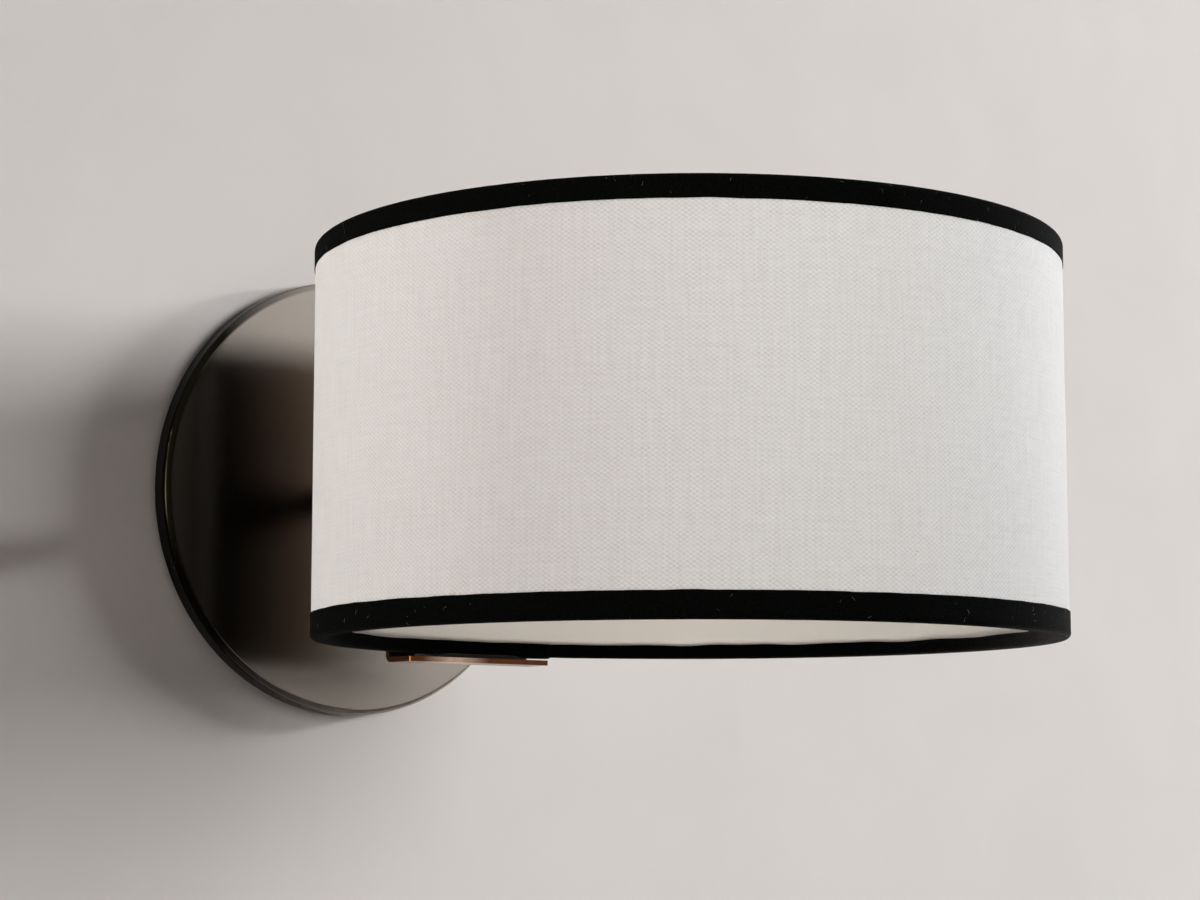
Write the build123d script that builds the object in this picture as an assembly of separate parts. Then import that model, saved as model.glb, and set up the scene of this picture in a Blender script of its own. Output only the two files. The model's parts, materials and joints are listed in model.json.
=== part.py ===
from build123d import *
import math
import os

# A drum wall light. A round backplate fits over a mounting plate on the wall. A
# hollow arm carries a lamp holder out from it, and a bent bracket on the arm holds
# the shade by its top and bottom rims.
#
# Millimetres. The wall is the plane y = 0 and the room lies towards -Y, with +X to
# the right as seen from the room and +Z up. The origin is the middle of the
# mounting plate's back. "Out" is a distance from the wall.

# Shade
shade_diameter = 203.0
shade_height = 106.0
shade_standoff = 63.9  # from the backplate's face to the back of the cover
cover_thickness = 0.5
liner_thickness = 0.4
ring_wire = 2.4
tape_thickness = 0.35
top_tape_drop = 5.9
bottom_tape_drop = 6.5
tape_turn_in = 3.7
tape_corner_radius = 1.0
seam_width = 10.0
seam_angle = 24.0  # from the back of the shade, towards the right

# Backplate and what holds it to the wall
backplate_diameter = 139.5
backplate_depth = 6.6
backplate_wall = 1.2
backplate_edge_radius = 2.0
grub_diameter = 3.0
grub_length = 3.5
grub_recess = 0.25
grub_socket = 1.5  # across the flats
grub_socket_depth = 1.6
grub_angles = (90.0, 201.0, 339.0)
plate_thickness = 1.2
plate_rim_depth = 4.8
plate_opening_diameter = 44.0
box_slot_spacing = 79.4  # takes box screws 69.9 or 88.9 mm apart
box_slot_length = 15.5
box_slot_width = 4.8
ground_screw_drop = 42.0
ground_screw_diameter = 4.0
ground_head_diameter = 8.0
ground_head_height = 2.2
ground_slot_width = 1.0
ground_slot_depth = 1.0

# Arm and its nuts
arm_diameter = 10.0
arm_bore = 7.0
arm_tail = 1.35  # out, where the tube starts behind its lock nut
collar_diameter = 22.0
collar_length = 6.0
collar_edge = 0.8
lock_nut_flats = 16.0
lock_nut_thickness = 2.8
star_washer_diameter = 19.0
star_washer_thickness = 0.8
star_teeth = 12
star_tooth_depth = 1.6
bracket_nut_flats = 16.0
bracket_nut_thickness = 4.0
shade_nut_flats = 14.0
shade_nut_thickness = 4.0
nut_edge = 0.6
wire_diameter = 2.2
wire_spacing = 2.8

# Bracket
bracket_width = 50.8
bracket_thickness = 1.5
bracket_bend_radius = 1.0  # inside the bend
bracket_corner_radius = 0.8
bracket_reach = 4.5  # how far a foot reaches past the back of the cover
pad_thickness = 1.15
pad_width = 34.0
bush_length = 7.0  # from the bracket to the back of the cover
bush_diameter = 18.0
bush_neck_diameter = 12.4
shade_hole_diameter = 13.2
shade_washer_diameter = 24.0
shade_washer_thickness = 1.2

# Lamp holder
holder_gap = 1.5  # from the shade nut to the holder's cap
holder_diameter = 33.0
holder_cap_depth = 16.0
holder_cap_wall = 1.0
holder_cap_edge = 2.5
holder_boss_diameter = 16.0
holder_boss_depth = 6.0
holder_shell_length = 36.0
holder_shell_wall = 0.6
holder_overlap = 4.0  # of the shell's tail inside the cap
holder_bead = 0.8
holder_sleeve_wall = 0.5
holder_core_depth = 9.0
holder_core_clearance = 4.0  # from the boss to the core
screw_shell_wall = 0.4
screw_shell_length = 27.0
contact_width = 6.0
contact_thickness = 0.5
contact_lift = 2.0

# Bulb
bulb_length = 110.0
bulb_diameter = 60.0
bulb_wall = 1.0
bulb_cap_diameter = 26.0
bulb_cap_length = 20.0
bulb_thread_pitch = 3.6
bulb_thread_depth = 0.9
bulb_cap_wall = 0.8
bulb_collar_length = 10.0
bulb_collar_diameter = 32.0
bulb_insulator_length = 4.0
bulb_insulator_diameter = 16.0
bulb_contact_diameter = 9.0
bulb_contact_height = 1.4
board_diameter = 24.0
board_thickness = 1.6
post_height = 30.0
post_base_diameter = 15.0
post_top_diameter = 10.0
chip_size = 3.0
chip_thickness = 0.8
chip_count = 8

# Clearances
layer_gap = 0.05  # between the layers of the shade
seat_gap = 0.05  # between flat faces that bear on each other
thread_clearance = 0.05
running_clearance = 0.06
saddle_gap = 0.15  # between the bush and the round cover
contact_gap = 0.3  # between the bulb and the holder's contact

# Places, as distances out from the wall
cover_radius = shade_diameter / 2
cover_back = backplate_depth + shade_standoff
shade_out = cover_back + cover_radius
arm_radius = arm_diameter / 2
bracket_front = cover_back - bush_length
bracket_back = bracket_front - bracket_thickness
liner_radius = cover_radius - cover_thickness - layer_gap
lining_radius = liner_radius - liner_thickness  # inside of the liner
ring_radius = lining_radius - layer_gap - ring_wire / 2
rim_radius = ring_radius - ring_wire / 2 - layer_gap - tape_thickness  # inside of the rim
half_height = shade_height / 2
layer_half_height = half_height - tape_thickness - layer_gap
washer_back = shade_out - math.sqrt(lining_radius**2 - (shade_washer_diameter / 2) ** 2) + seat_gap
shade_nut_back = washer_back + shade_washer_thickness + seat_gap
holder_back = shade_nut_back + shade_nut_thickness + holder_gap
holder_boss_front = holder_back + holder_cap_wall + holder_boss_depth
cap_front = holder_back + holder_cap_depth
shell_back = cap_front - holder_overlap
shell_front = shell_back + holder_shell_length
core_back = holder_boss_front + holder_core_clearance
core_front = core_back + holder_core_depth
shell_radius = holder_diameter / 2 - holder_cap_wall - thread_clearance
sleeve_radius = shell_radius - holder_shell_wall - thread_clearance
core_radius = sleeve_radius - holder_sleeve_wall - thread_clearance
bulb_cap_radius = bulb_cap_diameter / 2
screw_shell_radius = core_radius - thread_clearance
contact_top = core_front + contact_thickness + contact_lift
bulb_back = contact_top + contact_gap
bulb_front = bulb_back + bulb_length
insulator_back = bulb_back + bulb_contact_height
cap_back = insulator_back + bulb_insulator_length
bulb_cap_front = cap_back + bulb_cap_length
collar_front = bulb_cap_front + bulb_collar_length
globe_centre = bulb_front - bulb_diameter / 2

shade_axis = Axis((0, -shade_out, 0), (0, 0, 1))
shade_section = Plane(origin=(0, -shade_out, 0), x_dir=(1, 0, 0), z_dir=(0, -1, 0))


def save(name, *pieces):
    """Writes one named piece, or a group of like pieces, as a STEP file."""
    shape = pieces[0] if len(pieces) == 1 else Compound(list(pieces))
    export_step(shape, f"parts/{name}.step")


def turned(*corners):
    """A piece turned about the arm's axis, from (radius, out) corners."""
    outline = Polyline(*[(radius, -out) for radius, out in corners], close=True)
    return revolve(make_face(outline), Axis.Y)


def tube(outer, inner, start, end):
    """A ring or tube about the arm's axis, from its radii and its ends out from the wall."""
    return turned((inner, start), (outer, start), (outer, end), (inner, end))


def rod(radius, start, end, x=0.0, z=0.0):
    """A round bar that points out from the wall."""
    middle = -(start + end) / 2
    return Pos(x, middle, z) * Rot(90, 0, 0) * Cylinder(radius, abs(end - start))


def block(width, start, end, low, high, x=0.0):
    """A square-cornered block, from its width, its ends out from the wall and its heights."""
    place = Pos(x, -(start + end) / 2, (low + high) / 2)
    return place * Box(width, abs(end - start), high - low)


def nut(flats, start, end, bore):
    """A hexagon nut on the arm, with its corners turned down on both faces."""
    body = Plane.XZ.offset(start) * RegularPolygon(flats / 2, 6, major_radius=False)
    body = extrude(body, amount=end - start)
    corner = flats / 2 / math.cos(math.pi / 6)
    envelope = turned(
        (0, start),
        (corner - nut_edge, start),
        (corner, start + nut_edge / 2),
        (corner, end - nut_edge / 2),
        (corner - nut_edge, end),
        (0, end),
    )
    return (body & envelope) - rod(bore, start, end)


def band(outer, inner, low, high):
    """A hoop about the shade's upright axis, from its radii and heights."""
    corners = [(inner, low), (outer, low), (outer, high), (inner, high)]
    outline = Polyline(*corners, close=True)
    return revolve(shade_section * make_face(outline), shade_axis)


# ---- Wall side ----


def make_mounting_plate():
    """A shallow dish against the wall, with slots for the box screws and a wire opening."""
    rim = backplate_diameter / 2 - grub_recess - grub_length - seat_gap
    dish = turned(
        (plate_opening_diameter / 2, 0),
        (rim, 0),
        (rim, plate_rim_depth),
        (rim - plate_thickness, plate_rim_depth),
        (rim - plate_thickness, plate_thickness),
        (plate_opening_diameter / 2, plate_thickness),
    )
    for side in (-1, 1):
        slot = Plane.XZ * Pos(side * box_slot_spacing / 2, 0) * SlotOverall(box_slot_length, box_slot_width)
        dish -= extrude(slot, amount=plate_thickness)
    tapped = ground_screw_diameter / 2 + thread_clearance
    return dish - rod(tapped, 0, plate_thickness, z=-ground_screw_drop)


def make_ground_screw():
    """A slotted cheese-head screw, flush with the plate's back."""
    head_back = plate_thickness + seat_gap
    head_front = head_back + ground_head_height
    shank = rod(ground_screw_diameter / 2, 0, head_back, z=-ground_screw_drop)
    head = rod(ground_head_diameter / 2, head_back, head_front, z=-ground_screw_drop)
    low = -ground_screw_drop - ground_slot_width / 2
    high = -ground_screw_drop + ground_slot_width / 2
    slot = block(ground_head_diameter, head_front - ground_slot_depth, head_front, low, high)
    return shank + head - slot


def grub_place(angle):
    """Where a side screw starts on the backplate's rim: local Z points inwards."""
    outer = backplate_diameter / 2 - grub_recess
    turn = math.radians(angle)
    inwards = (-math.cos(turn), 0, -math.sin(turn))
    start = (outer * math.cos(turn), -backplate_depth / 2, outer * math.sin(turn))
    return Plane(origin=start, x_dir=(0, 1, 0), z_dir=inwards)


def make_backplate():
    """A spun pan with a rounded front edge, held from the side by grub screws."""
    radius = backplate_diameter / 2
    outside = [(radius, 0), (radius, backplate_depth), (0, backplate_depth), (0, 0)]
    skin = fillet_corner(outside, radius, backplate_depth, backplate_edge_radius)
    inner = radius - backplate_wall
    depth = backplate_depth - backplate_wall
    inside = [(inner, 0), (inner, depth), (0, depth), (0, 0)]
    hollow = fillet_corner(inside, inner, depth, backplate_edge_radius - backplate_wall)
    pan = skin - hollow - rod(arm_radius + thread_clearance, 0, backplate_depth)
    for angle in grub_angles:
        tapped = grub_diameter / 2 + thread_clearance
        hole = extrude(grub_place(angle).offset(-grub_recess) * Circle(tapped), backplate_wall * 2)
        pan -= hole
    return pan


def fillet_corner(corners, radius, out, rounding):
    """A turned solid whose corner at (radius, out) is rounded."""
    outline = Polyline(*[(r, -o) for r, o in corners], close=True)
    face = make_face(outline)
    corner = face.vertices().sort_by_distance((radius, -out, 0))[0]
    return revolve(fillet(corner, rounding), Axis.Y)


def make_grub_screw(angle):
    """A headless screw with a hexagon socket in its outer end."""
    place = grub_place(angle)
    shank = extrude(place * Circle(grub_diameter / 2), grub_length)
    socket = place * RegularPolygon(grub_socket / 2, 6, major_radius=False)
    return shank - extrude(socket, grub_socket_depth)


# ---- Arm ----


def make_arm_tube():
    """The hollow arm, from its lock nut to the boss of the lamp holder."""
    return tube(arm_radius, arm_bore / 2, arm_tail, holder_boss_front)


def make_arm_collar():
    """The round collar that bears on the backplate's face."""
    outer = collar_diameter / 2
    inner = arm_radius + thread_clearance
    front = backplate_depth + collar_length
    return turned(
        (inner, backplate_depth),
        (outer, backplate_depth),
        (outer, front - collar_edge),
        (outer - collar_edge, front),
        (inner, front),
    )


def make_star_washer():
    """A washer with outside teeth, under the lock nut."""
    front = backplate_depth - backplate_wall
    back = front - star_washer_thickness
    outer = star_washer_diameter / 2
    washer = tube(outer, arm_radius + thread_clearance, back, front)
    gullet_radius = math.pi * outer / star_teeth / 2
    for step in range(star_teeth):
        turn = 2 * math.pi * step / star_teeth
        reach = outer + gullet_radius - star_tooth_depth
        washer -= rod(gullet_radius, back, front, reach * math.cos(turn), reach * math.sin(turn))
    return washer


def make_lock_nut():
    """The thin nut that clamps the arm and its collar to the backplate."""
    front = backplate_depth - backplate_wall - star_washer_thickness
    return nut(lock_nut_flats, front - lock_nut_thickness, front, arm_radius + thread_clearance)


def make_bracket_nut():
    """The nut on the arm behind the bracket."""
    front = bracket_back - seat_gap
    back = front - bracket_nut_thickness
    return nut(bracket_nut_flats, back, front, arm_radius + thread_clearance)


def make_shade_nut():
    """The nut on the arm inside the shade, which clamps the shade to its bush."""
    end = shade_nut_back + shade_nut_thickness
    return nut(shade_nut_flats, shade_nut_back, end, arm_radius + thread_clearance)


def make_wire(side):
    """One insulated supply wire, straight along the inside of the arm."""
    return rod(wire_diameter / 2, arm_tail, core_back - seat_gap, x=side * wire_spacing / 2)


# ---- Bracket and what clamps the shade ----


def make_shade_bracket():
    """A strap behind the shade, its ends bent out over the two rims."""
    inner_half = half_height + seat_gap + pad_thickness
    outer_half = inner_half + bracket_thickness
    tip = cover_back + bracket_reach
    strap = block(bracket_width, bracket_back, tip, -outer_half, outer_half)
    back_edges = strap.edges().filter_by(Axis.X).group_by(Axis.Y)[-1]
    strap = fillet(back_edges, bracket_bend_radius + bracket_thickness)
    pocket = block(bracket_width, bracket_front, tip, -inner_half, inner_half)
    bend_edges = pocket.edges().filter_by(Axis.X).group_by(Axis.Y)[-1]
    strap -= fillet(bend_edges, bracket_bend_radius)
    corners = strap.edges().filter_by(Axis.Z).group_by(Axis.Y)[0]
    strap = fillet(corners, bracket_corner_radius)
    return strap - rod(arm_radius + running_clearance, bracket_back, bracket_front)


def make_bracket_pad(side):
    """A soft strip glued to one foot of the bracket, under the rim."""
    start = bracket_front + bracket_bend_radius
    end = cover_back + bracket_reach
    face = half_height + seat_gap
    low, high = sorted((side * face, side * (face + pad_thickness)))
    return block(pad_width, start, end, low, high)


def make_spacer_bush():
    """A bush between the bracket and the round cover, with a neck through the cover."""
    bore = arm_radius + running_clearance
    neck_front = shade_out - lining_radius + layer_gap
    outer = bush_diameter / 2
    body = tube(outer, bore, bracket_front, cover_back + outer)
    body -= Pos(0, -shade_out, 0) * Cylinder(cover_radius + saddle_gap, bush_diameter * 2)
    return body + tube(bush_neck_diameter / 2, bore, cover_back - saddle_gap - 1, neck_front)


def make_shade_washer():
    """The flat washer inside the shade."""
    outer = shade_washer_diameter / 2
    end = washer_back + shade_washer_thickness
    return tube(outer, arm_radius + running_clearance, washer_back, end)


# ---- Shade ----


def shade_hole():
    """The round hole through the back of the shade for the bush's neck."""
    end = cover_back + shade_washer_diameter
    return rod(shade_hole_diameter / 2, bracket_front, end)


def make_shade_cover():
    """The linen cover."""
    inner = cover_radius - cover_thickness
    return band(cover_radius, inner, -layer_half_height, layer_half_height) - shade_hole()


def make_shade_liner():
    """The stiff liner that the cover is bonded to."""
    return band(liner_radius, lining_radius, -layer_half_height, layer_half_height) - shade_hole()


def make_cover_seam():
    """The strip of cloth that closes the cover at the back, right of the bracket."""
    inner = cover_radius + layer_gap
    low = -half_height + bottom_tape_drop + layer_gap
    high = half_height - top_tape_drop - layer_gap
    section = make_face(Polyline(*strip_corners(inner, low, high), close=True))
    arc = math.degrees(seam_width / cover_radius)
    strip = revolve(shade_section * section, shade_axis, arc)
    return strip.rotate(shade_axis, 90 - seam_angle - arc / 2)


def strip_corners(inner, low, high):
    """The corners of the seam strip's section."""
    outer = inner + tape_thickness
    return [(inner, low), (outer, low), (outer, high), (inner, high)]


def make_ring(side):
    """One wire ring, inside the edge of the liner."""
    height = side * (layer_half_height - ring_wire / 2)
    section = shade_section * Pos(ring_radius, height) * Circle(ring_wire / 2)
    return revolve(section, shade_axis)


def make_trim(side, drop):
    """The folded tape over one rim, round at its two outer corners."""
    outer = cover_radius + layer_gap + tape_thickness
    edge = half_height
    floor = edge - tape_thickness
    corners = [
        (outer, edge - drop),
        (outer, edge),
        (rim_radius, edge),
        (rim_radius, edge - tape_turn_in),
        (rim_radius + tape_thickness, edge - tape_turn_in),
        (rim_radius + tape_thickness, floor),
        (outer - tape_thickness, floor),
        (outer - tape_thickness, edge - drop),
    ]
    face = make_face(Polyline(*[(radius, side * height) for radius, height in corners], close=True))
    edge_corners = face.vertices().group_by(Axis.Y)[-1 if side > 0 else 0]
    face = fillet(edge_corners, tape_corner_radius)
    return revolve(shade_section * face, shade_axis)


# ---- Lamp holder ----


def make_holder_cap():
    """The cup at the arm's tip, with a threaded boss inside."""
    outer = holder_diameter / 2
    inner = outer - holder_cap_wall
    boss = holder_boss_diameter / 2
    floor = holder_back + holder_cap_wall
    bore = arm_radius + thread_clearance
    return turned(
        (bore, holder_back),
        (outer - holder_cap_edge, holder_back),
        (outer, holder_back + holder_cap_edge),
        (outer, cap_front),
        (inner, cap_front),
        (inner, floor + holder_cap_edge),
        (inner - holder_cap_edge, floor),
        (boss, floor),
        (boss, holder_boss_front),
        (bore, holder_boss_front),
    )


def make_holder_shell():
    """The outer shell, pushed into the cap, with a bead round its mouth."""
    inner = shell_radius - holder_shell_wall
    bead = shell_radius + holder_bead
    return turned(
        (inner, shell_back),
        (shell_radius, shell_back),
        (shell_radius, shell_front - 3 * holder_bead),
        (bead, shell_front - 2 * holder_bead),
        (bead, shell_front - holder_bead),
        (shell_radius, shell_front),
        (inner, shell_front),
    )


def make_holder_sleeve():
    """The insulating sleeve inside the shell."""
    return tube(sleeve_radius, sleeve_radius - holder_sleeve_wall, shell_back, shell_front - holder_bead)


def make_holder_core():
    """The insulating block that carries the screw shell."""
    return rod(core_radius, core_back, core_front)


def make_screw_shell():
    """The metal sleeve that the bulb screws into."""
    inner = screw_shell_radius - screw_shell_wall
    start = core_front + seat_gap
    return tube(screw_shell_radius, inner, start, start + screw_shell_length)


def make_holder_contact():
    """The centre contact: a strip on the core, bent up and back over itself."""
    base = core_front + seat_gap
    half = contact_width / 2
    foot = block(contact_width, base, base + contact_thickness, -half, half)
    leaf = block(contact_width, contact_top - contact_thickness, contact_top, -half, half)
    web = block(contact_width, base, contact_top, half - contact_thickness, half)
    return foot + leaf + web


# ---- Bulb ----


def make_bulb_cap():
    """The bulb's threaded cap, its thread drawn as plain ridges."""
    crest = bulb_cap_radius
    root = crest - bulb_thread_depth
    inner = root - bulb_cap_wall
    corners = [(inner, cap_back), (root, cap_back)]
    ridges = int((bulb_cap_length - bulb_thread_pitch) / bulb_thread_pitch)
    for ridge in range(ridges):
        start = cap_back + bulb_thread_pitch * (ridge + 0.25)
        corners += [(root, start), (crest, start + bulb_thread_pitch / 3)]
        corners += [(crest, start + bulb_thread_pitch / 2), (root, start + bulb_thread_pitch * 0.8)]
    corners += [(root, bulb_cap_front), (inner, bulb_cap_front)]
    return turned(*corners)


def make_bulb_insulator():
    """The glassy disc that closes the cap's tip."""
    root = bulb_cap_radius - bulb_thread_depth
    front = cap_back - seat_gap
    tip = bulb_insulator_diameter / 2
    return turned((0, insulator_back), (tip, insulator_back), (root, front), (0, front))


def make_bulb_contact():
    """The bulb's end contact."""
    back = bulb_back
    front = insulator_back - seat_gap
    radius = bulb_contact_diameter / 2
    return turned((0, back), (radius * 0.7, back), (radius, front), (0, front))


def make_bulb_collar():
    """The collar between the cap and the globe."""
    outer = bulb_collar_diameter / 2
    neck = bulb_cap_radius
    start = bulb_cap_front + seat_gap
    spigot = bulb_cap_radius - bulb_thread_depth - bulb_cap_wall - thread_clearance
    return turned(
        (0, start - bulb_cap_wall * 2),
        (spigot, start - bulb_cap_wall * 2),
        (spigot, start),
        (neck, start),
        (outer, start + bulb_collar_length * 0.6),
        (outer, collar_front),
        (0, collar_front),
    )


def globe_solid(inset):
    """The globe's pear shape, smaller all over by the inset: a ball and a tangent cone."""
    radius = bulb_diameter / 2 - inset
    neck = bulb_collar_diameter / 2 - inset
    base = collar_front + seat_gap
    drop = globe_centre - base
    reach = math.hypot(neck, drop)
    tilt = math.atan2(drop, neck) - math.acos(radius / reach)
    side = (radius * math.cos(tilt), -globe_centre + radius * math.sin(tilt))
    middle_turn = (math.pi / 2 - tilt) / 2 + tilt - math.pi / 2
    through = (radius * math.cos(middle_turn), -globe_centre + radius * math.sin(middle_turn))
    tip = (0, -globe_centre - radius)
    outline = Line((0, -base), (neck, -base)) + Line((neck, -base), side)
    outline += ThreePointArc(side, through, tip) + Line(tip, (0, -base))
    return revolve(make_face(outline), Axis.Y)


def make_bulb_globe():
    """The frosted globe, a thin wall open at its neck."""
    return globe_solid(0.0) - globe_solid(bulb_wall)


def make_bulb_board():
    """The round circuit board on the collar, inside the globe."""
    start = collar_front + 2 * seat_gap
    return rod(board_diameter / 2, start, start + board_thickness)


def board_front():
    """Out, the face of the circuit board."""
    return collar_front + 2 * seat_gap + board_thickness


def make_bulb_post():
    """The tapered post that carries the light chips."""
    start = board_front() + seat_gap
    end = start + post_height
    return turned((0, start), (post_base_diameter / 2, start), (post_top_diameter / 2, end), (0, end))


def make_bulb_chip(step):
    """One light chip, flat against the post's side, half way up."""
    start = board_front() + seat_gap
    middle = start + post_height / 2
    radius = (post_base_diameter + post_top_diameter) / 4
    taper = math.degrees(math.atan2((post_base_diameter - post_top_diameter) / 2, post_height))
    lift = radius + seat_gap + chip_thickness / 2
    chip = Pos(lift, -middle, 0) * Rot(0, 0, -taper) * Box(chip_thickness, chip_size, chip_size)
    return chip.rotate(Axis.Y, 360 * step / chip_count)


save("mounting_plate", make_mounting_plate())
save("ground_screw", make_ground_screw())
save("backplate", make_backplate())
save("grub_screws", *[make_grub_screw(angle) for angle in grub_angles])
save("arm_tube", make_arm_tube())
save("arm_collar", make_arm_collar())
save("star_washer", make_star_washer())
save("lock_nut", make_lock_nut())
save("bracket_nut", make_bracket_nut())
save("shade_nut", make_shade_nut())
save("live_wire", make_wire(1))
save("neutral_wire", make_wire(-1))
save("shade_bracket", make_shade_bracket())
save("bracket_pads", make_bracket_pad(-1), make_bracket_pad(1))
save("spacer_bush", make_spacer_bush())
save("shade_washer", make_shade_washer())
save("shade_cover", make_shade_cover())
save("cover_seam", make_cover_seam())
save("shade_liner", make_shade_liner())
save("top_ring", make_ring(1))
save("bottom_ring", make_ring(-1))
save("top_trim", make_trim(1, top_tape_drop))
save("bottom_trim", make_trim(-1, bottom_tape_drop))
save("holder_cap", make_holder_cap())
save("holder_shell", make_holder_shell())
save("holder_sleeve", make_holder_sleeve())
save("holder_core", make_holder_core())
save("holder_screw_shell", make_screw_shell())
save("holder_contact", make_holder_contact())
save("bulb_cap", make_bulb_cap())
save("bulb_insulator", make_bulb_insulator())
save("bulb_contact", make_bulb_contact())
save("bulb_collar", make_bulb_collar())
save("bulb_globe", make_bulb_globe())
save("bulb_board", make_bulb_board())
save("bulb_post", make_bulb_post())
save("bulb_chips", *[make_bulb_chip(step) for step in range(chip_count)])
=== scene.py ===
import json
import math

import bmesh
import bpy
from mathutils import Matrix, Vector, noise


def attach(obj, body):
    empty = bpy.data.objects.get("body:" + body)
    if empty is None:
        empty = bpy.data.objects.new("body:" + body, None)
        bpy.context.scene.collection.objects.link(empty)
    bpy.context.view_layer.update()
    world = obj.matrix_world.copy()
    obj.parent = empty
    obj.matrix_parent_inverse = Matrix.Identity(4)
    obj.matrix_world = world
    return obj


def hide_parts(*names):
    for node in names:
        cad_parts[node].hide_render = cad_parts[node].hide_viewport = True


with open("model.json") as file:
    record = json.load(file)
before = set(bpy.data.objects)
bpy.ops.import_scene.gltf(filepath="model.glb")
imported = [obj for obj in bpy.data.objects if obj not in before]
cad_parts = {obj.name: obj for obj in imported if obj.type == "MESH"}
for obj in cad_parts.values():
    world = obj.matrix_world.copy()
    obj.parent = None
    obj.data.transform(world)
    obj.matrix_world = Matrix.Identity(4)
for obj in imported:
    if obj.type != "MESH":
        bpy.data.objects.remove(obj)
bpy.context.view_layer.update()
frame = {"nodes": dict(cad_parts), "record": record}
nodes = frame["nodes"]

# Sizes in millimetres, as in the part. The wall is y = 0, the room lies towards -Y
# and +X is to the right. The shade's own places are an angle from its back towards
# the right, a radius from its upright axis and a height above the arm.
SHADE_OUT = 172.0  # from the wall to the shade's axis
COVER_RADIUS = 101.5
COVER_THICKNESS = 0.5
LAYER_HALF_HEIGHT = 52.6  # of the cover and the liner
HALF_HEIGHT = 53.0  # of the shade over its tapes
LAYER_GAP = 0.05
TAPE_THICKNESS = 0.35
TAPE_TURN_IN = 3.7
TAPE_CORNER = 1.0
TAPE_INNER_RADIUS = 97.7
TAPE_LAP = 8.0  # how far the tape's end lies over its start
TAPE_LAP_ANGLE = math.radians(12.0)  # behind the bracket's foot, beside its pad
TOP_TAPE_DROP = 5.9
BOTTOM_TAPE_DROP = 6.5
SEAM_ANGLE = math.radians(24.0)
SEAM_WIDTH = 10.0
SEAM_THICKNESS = 0.3
SEAM_GAP = 0.01
SEAM_LIFT = 0.35  # how far its middle stands off the cover
SEAM_EDGE_LIFT = 0.02
SEAM_TUCK = 1.5  # how far it runs in under each tape
NECK_HOLE_RADIUS = 6.6
PAD_WIDTH = 34.0
PAD_BACK_OUT = 64.5
PAD_FRONT_OUT = 75.0
PAD_LOW = 53.05
PAD_HIGH = 54.2
BRACKET_WIDTH = 50.8
FOOT_FACE = 55.7  # the outer face of a foot, above or below the arm

# Where a finish, or a painted sheen, highlight, reflection or shade, begins to change and where the change
# is full, in millimetres across
TAPE_SHEEN_RIGHTWARDS = (10.0, 80.0)
PAINTED_HIGHLIGHT_REACH = (12.0, 2.0)  # to each side of the next one
PAINTED_HIGHLIGHT_MIDDLE = -9.0
PAINTED_REFLECTION_RIGHT = (-12.0, 18.0)
PAINTED_DARK_LEFT = (-48.0, -61.0)
PAINTED_DARK_LOW = (-30.0, 50.0)  # towards the lower left
PAINTED_DARK_ROUND = (67.3, 68.1)  # outwards, over the backplate's rounded edge
PAINTED_DARK_SIDE = (69.1, 69.6)  # outwards, to its side wall
PAINTED_DARK_ROUND_LEFT = (-5.0, -50.0)
PAINTED_DARK_SIDE_FADE = (-30.0, 10.0)
BLAST_TILT = 0.05  # how far, as a slope, the blasted face's spots tilt

# How far cloth and felt wander from their plain shapes, in millimetres
COVER_SWELL = 0.04
SEAM_EDGE_WANDER = 0.12
CLOTH_SWELL = 0.03
TAPE_EDGE_WAVE = 0.14
TAPE_EDGE_NIBBLE = 0.05
TAPE_TURNED_EDGE_WAVE = 0.35
TAPE_TURNED_PUCKER = 0.16
TAPE_LAP_SLACK = 0.06
TAPE_OUTSIDE_SHARE = 0.3  # the share of its width that wanders with its outer edge
TAPE_TURNED_SHARE = 0.28  # and with its turned-in edge
FELT_ROUNDING = 0.16
FELT_RAG = 0.07
FELT_PITS = 0.02

# What is seen through the shade's open ends
INSIDE_SHADE = (
    "shade_liner", "top_ring", "bottom_ring", "shade_washer", "shade_nut", "holder_cap", "holder_shell",
    "bulb_collar", "bulb_globe",
)

# Real pattern sizes in millimetres
WARP_SPACING = 0.81
WEFT_SPACING = 0.57
TAPE_THREAD = 0.42

# Lint on the tapes, and the supply wires' bare ends behind the backplate, in millimetres
LINT_RADIUS = 0.012
LINT_PER_SQUARE_CM = 2.0
WIRE_APART = 2.8
WIRE_END_OUT = 1.35  # where the insulation ends, out from the wall
STRAND_RADIUS = 0.2
STRAND_LAY = 0.41  # from the middle of the straight strand to that of a twisted one
STRAND_REACH = 0.95  # how far the strands stand out of the insulation
STRAND_START = 0.2  # how far the strands begin inside the insulation

# The wall's box hole and its own place in millimetres, and what the room measures in metres
BOX_HOLE_RADIUS = 66.0
WALL_BEHIND = 0.2
WALL_HALF_WIDTH = 4
WALL_TOP = 3
FLOOR_HEIGHT = -1.5
FLOOR_FRONT = -6


# ---- Small helpers ----


def mm(x, y, z):
    """A point in metres, from millimetres."""
    return Vector((x, y, z)) * 0.001


def on_shade(angle, radius, height):
    """A point on the shade: angle from its back towards the right, in radians."""
    return mm(radius * math.sin(angle), radius * math.cos(angle) - SHADE_OUT, height)


def blur(x, y, z, seed=0.0):
    """Smooth noise from -1 to 1."""
    return noise.noise(Vector((x, y, z + 17.3 * seed)))


def colour(text):
    """An sRGB hex colour as linear red, green, blue and alpha."""
    parts = [int(text[i:i + 2], 16) / 255 for i in (1, 3, 5)]
    return [p / 12.92 if p <= 0.04045 else ((p + 0.055) / 1.055) ** 2.4 for p in parts] + [1.0]


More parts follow.
